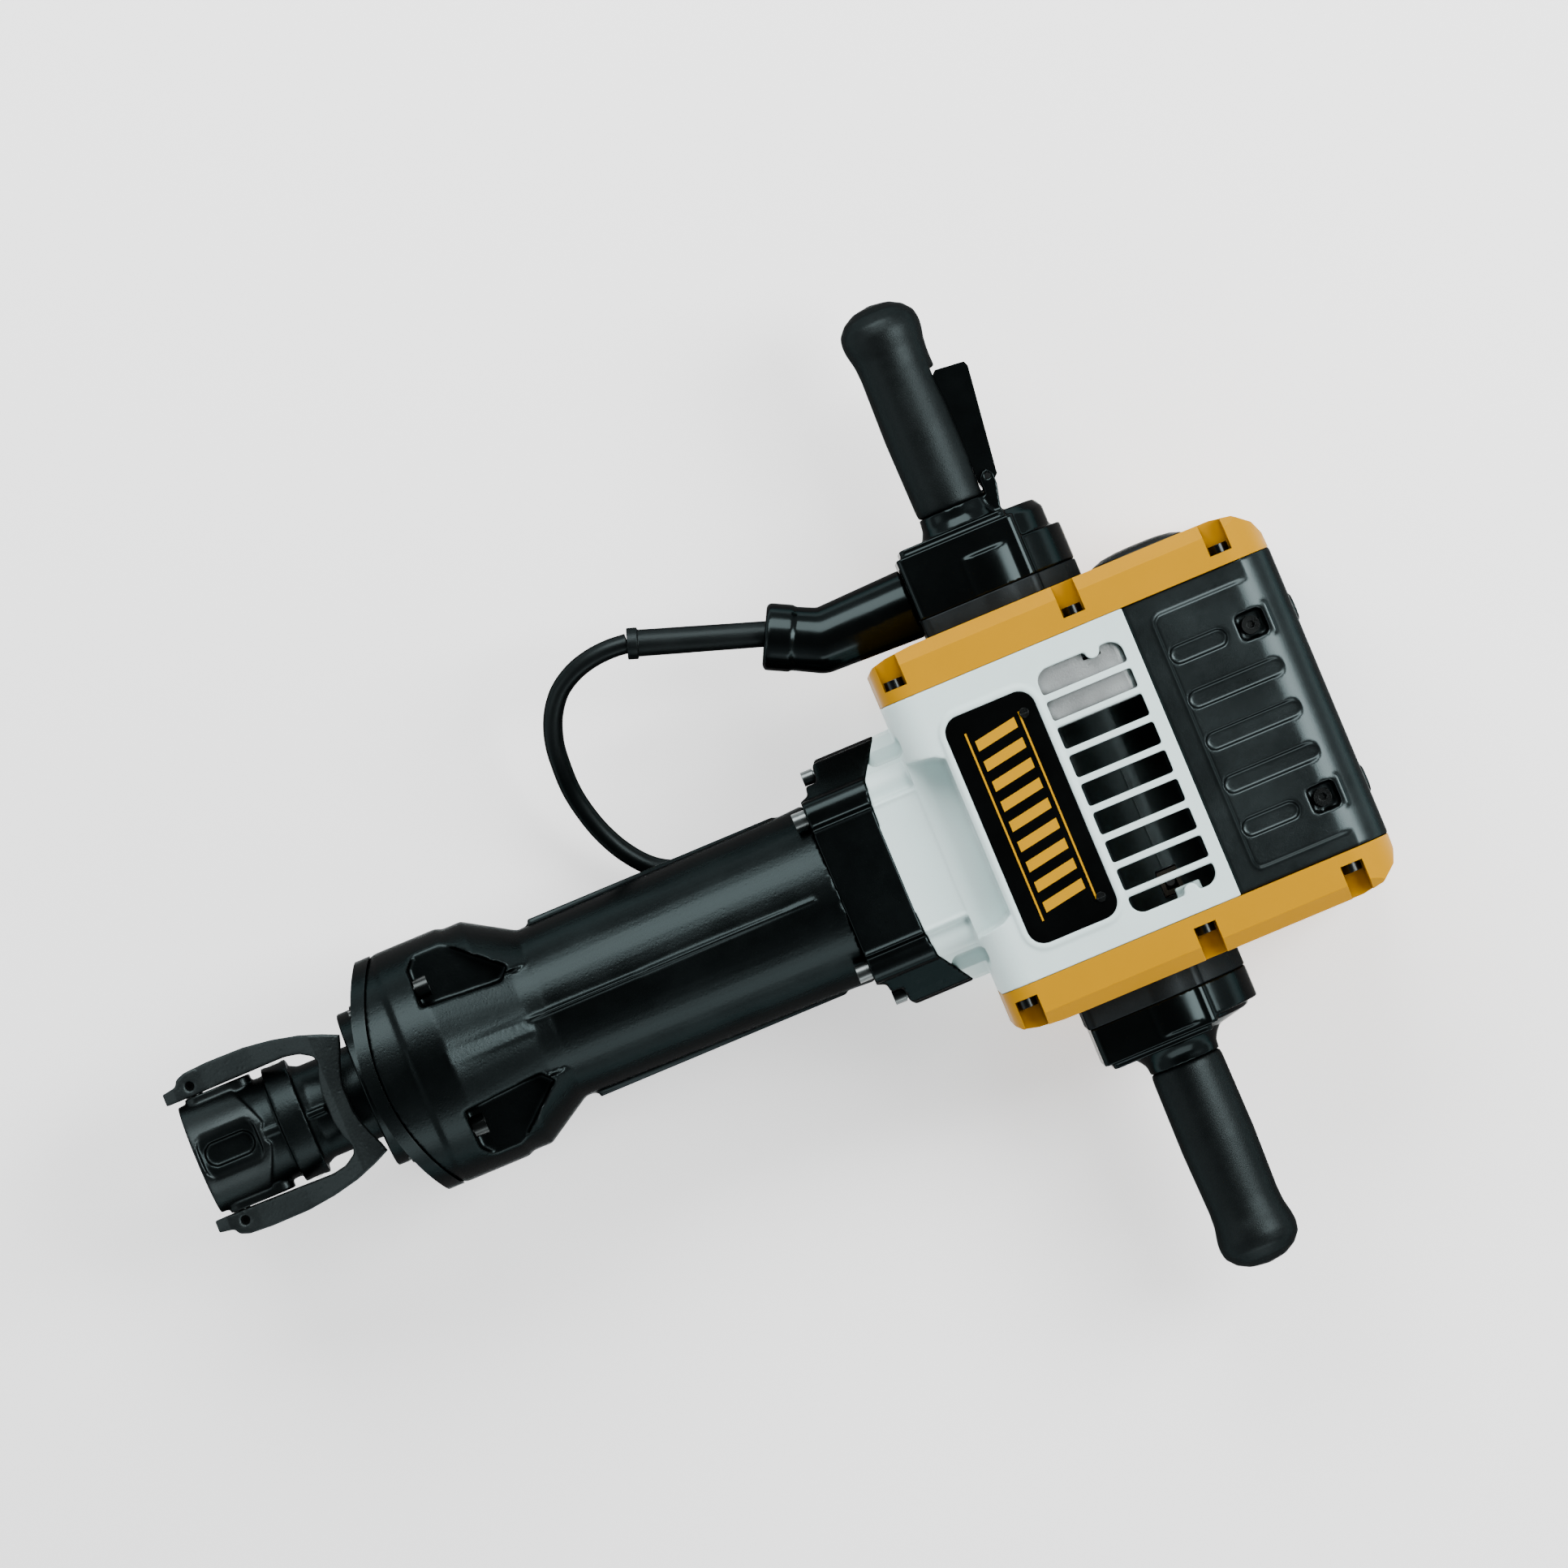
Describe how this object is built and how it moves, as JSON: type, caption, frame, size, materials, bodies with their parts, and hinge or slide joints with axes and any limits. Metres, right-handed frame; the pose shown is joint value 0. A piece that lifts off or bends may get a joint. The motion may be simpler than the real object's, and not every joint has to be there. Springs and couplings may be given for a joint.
{
  "type": "demolition hammer",
  "caption": "Heavy electric demolition hammer lying on its back, with a hexagonal bit socket, a hinged bit retainer, two side handles, a switch paddle and a supply cord.",
  "frame": {"origin": "middle of the tool's bounding box in plan, on the surface that it lies on", "axes": "+X from the bit socket to the rear cover along the tool's axis, +Y to the handle with the switch, +Z out of the tool's front face"},
  "size_m": [0.8, 0.675, 0.1994],
  "materials": {
    "black_casting": "satin black paint over a cast surface",
    "black_steel": "blackened steel",
    "forged": "forged and blasted",
    "steel": "machined",
    "screws": "zinc plated",
    "grey_housing": "light grey satin paint",
    "plastic": "fine texture",
    "gloss": "semi gloss",
    "orange_cover": "orange-yellow satin",
    "rubber": "matt",
    "aluminium": "cast and machined",
    "copper": "enamelled copper windings",
    "brass": "plain",
    "carbon": "dry",
    "plate": "gloss black"
  },
  "bodies": {
    "tool": {"nose_barrel": "black_steel", "hex_bushing": "steel", "nose_flange": "black_steel", "bail_detents": "steel", "front_cap": "black_casting", "barrel_housing": "black_casting", "front_cap_bolts": "screws", "anvil_sleeve": "steel", "damper_ring": "rubber", "cylinder_liner": "steel", "gear_case": "black_casting", "gear_case_bolts": "screws", "bearing_carrier": "aluminium", "ball_bearings": "steel", "gear_box": "aluminium", "stator": "copper", "motor_can": "black_casting", "brush_holders": "brass", "carbon_brushes": "carbon", "motor_housing": "grey_housing", "rear_cover": "plastic", "rear_cover_screws": "screws", "side_cover_left": "orange_cover", "side_cover_right": "orange_cover", "side_cover_screws": "screws", "grease_cap": "plastic", "nameplate": "plate", "nameplate_screws": "screws", "isolator_pads": "rubber", "switch_housing": "gloss", "handle_block": "gloss", "handle_cores": "black_steel", "grip_left": "rubber", "grip_right": "rubber", "paddle_pin": "steel", "power_switch": "plastic", "cord_elbow": "plastic", "strain_relief": "rubber", "cord_run": "rubber", "cord_hank": "rubber", "plug_body": "plastic", "plug_blades": "brass"},
    "bail": {"retainer_bail": "forged", "bail_pivot_pins": "steel", "bail_roll_pins": "screws"},
    "striker": {"anvil": "steel"},
    "ram": {"ram": "steel", "ram_seal": "rubber"},
    "piston": {"piston": "steel", "piston_seal": "rubber", "wrist_pin": "steel"},
    "rod": {"connecting_rod": "steel", "big_end_bearing": "steel"},
    "crank": {"crankshaft": "steel", "crank_gear": "steel"},
    "lay_shaft": {"lay_shaft": "steel"},
    "motor": {"rotor": "steel", "motor_pinion": "steel", "cooling_fan": "plastic"},
    "paddle": {"switch_paddle": "plastic"}
  },
  "joints": [
    {"name": "bail_swing", "type": "hinge", "parent": "tool", "child": "bail", "pos_m": [-0.381, -0.0075, 0.102], "axis": [0, -1, 0], "range_deg": [0, 150]},
    {"name": "paddle_press", "type": "hinge", "parent": "tool", "child": "paddle", "pos_m": [0.25, 0.2055, 0.102], "axis": [0, 0, 1], "range_deg": [0, 6], "stiffness_Nm_per_rad": 3, "springref_deg": -2.29},
    {"name": "striker_slide", "type": "slide", "parent": "tool", "child": "striker", "axis": [1, 0, 0], "range_m": [-0.001, 0.009]},
    {"name": "ram_slide", "type": "slide", "parent": "tool", "child": "ram", "axis": [1, 0, 0], "range_m": [0, 0.03]},
    {"name": "piston_slide", "type": "slide", "parent": "tool", "child": "piston", "axis": [1, 0, 0], "range_m": [0, 0.048]},
    {"name": "rod_swing", "type": "hinge", "parent": "piston", "child": "rod", "pos_m": [0.021, -0.0075, 0.102], "axis": [0, 1, 0], "range_deg": [-12.5, 12.5]},
    {"name": "crank_spin", "type": "hinge", "parent": "tool", "child": "crank", "pos_m": [0.152, -0.0075, 0.102], "axis": [0, 1, 0], "continuous": true},
    {"name": "lay_shaft_spin", "type": "hinge", "parent": "tool", "child": "lay_shaft", "pos_m": [0.20667, -0.0075, 0.12418], "axis": [0, 1, 0], "continuous": true},
    {"name": "motor_spin", "type": "hinge", "parent": "tool", "child": "motor", "pos_m": [0.257, -0.0075, 0.102], "axis": [0, 1, 0], "continuous": true}
  ],
  "couplings": [
    {"joint": "lay_shaft_spin", "follows": "crank_spin", "ratio": -3.9167},
    {"joint": "motor_spin", "follows": "crank_spin", "ratio": 24.806}
  ]
}
